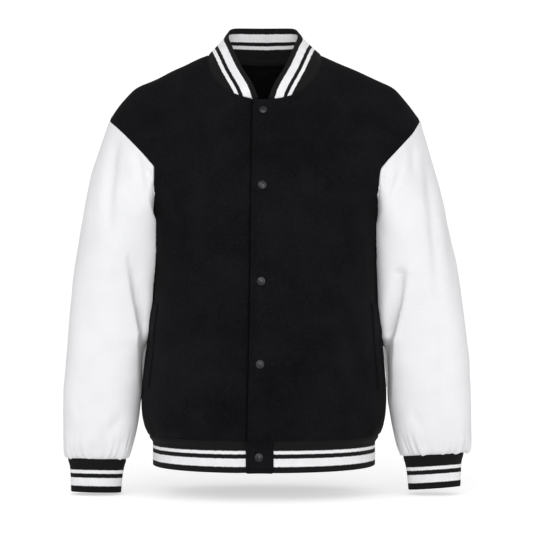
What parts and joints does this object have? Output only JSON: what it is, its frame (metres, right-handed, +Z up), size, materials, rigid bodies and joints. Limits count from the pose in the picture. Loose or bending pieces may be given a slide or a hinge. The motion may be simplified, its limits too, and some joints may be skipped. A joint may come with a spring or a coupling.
{
  "type": "varsity jacket",
  "caption": "Hollow fleece varsity jacket in its worn form: black body, white set-in sleeves, striped rib collar, cuffs and hem, snap front",
  "frame": {"origin": "between the shoulders at the height of the back neck seam, where the wearer carries the jacket", "axes": "+Z up, the front faces -Y, +X is the wearer's left"},
  "size_m": [0.6665, 0.2762, 0.7683],
  "materials": {
    "black_fleece": "matte",
    "white_fleece": "matte",
    "striped_rib": "matte",
    "gunmetal": "satin"
  },
  "bodies": {
    "root": {"front_left": "black_fleece", "front_right": "black_fleece", "back": "black_fleece", "sleeve_left": "white_fleece", "sleeve_right": "white_fleece", "collar": "striped_rib", "cuff_left": "striped_rib", "cuff_right": "striped_rib", "hem_rib": "striped_rib", "hem_tab_left": "black_fleece", "hem_tab_right": "black_fleece", "welt_left": "black_fleece", "welt_right": "black_fleece", "snap_1": "gunmetal", "snap_2": "gunmetal", "snap_3": "gunmetal", "snap_4": "gunmetal", "snap_5": "gunmetal"}
  },
  "joints": []
}
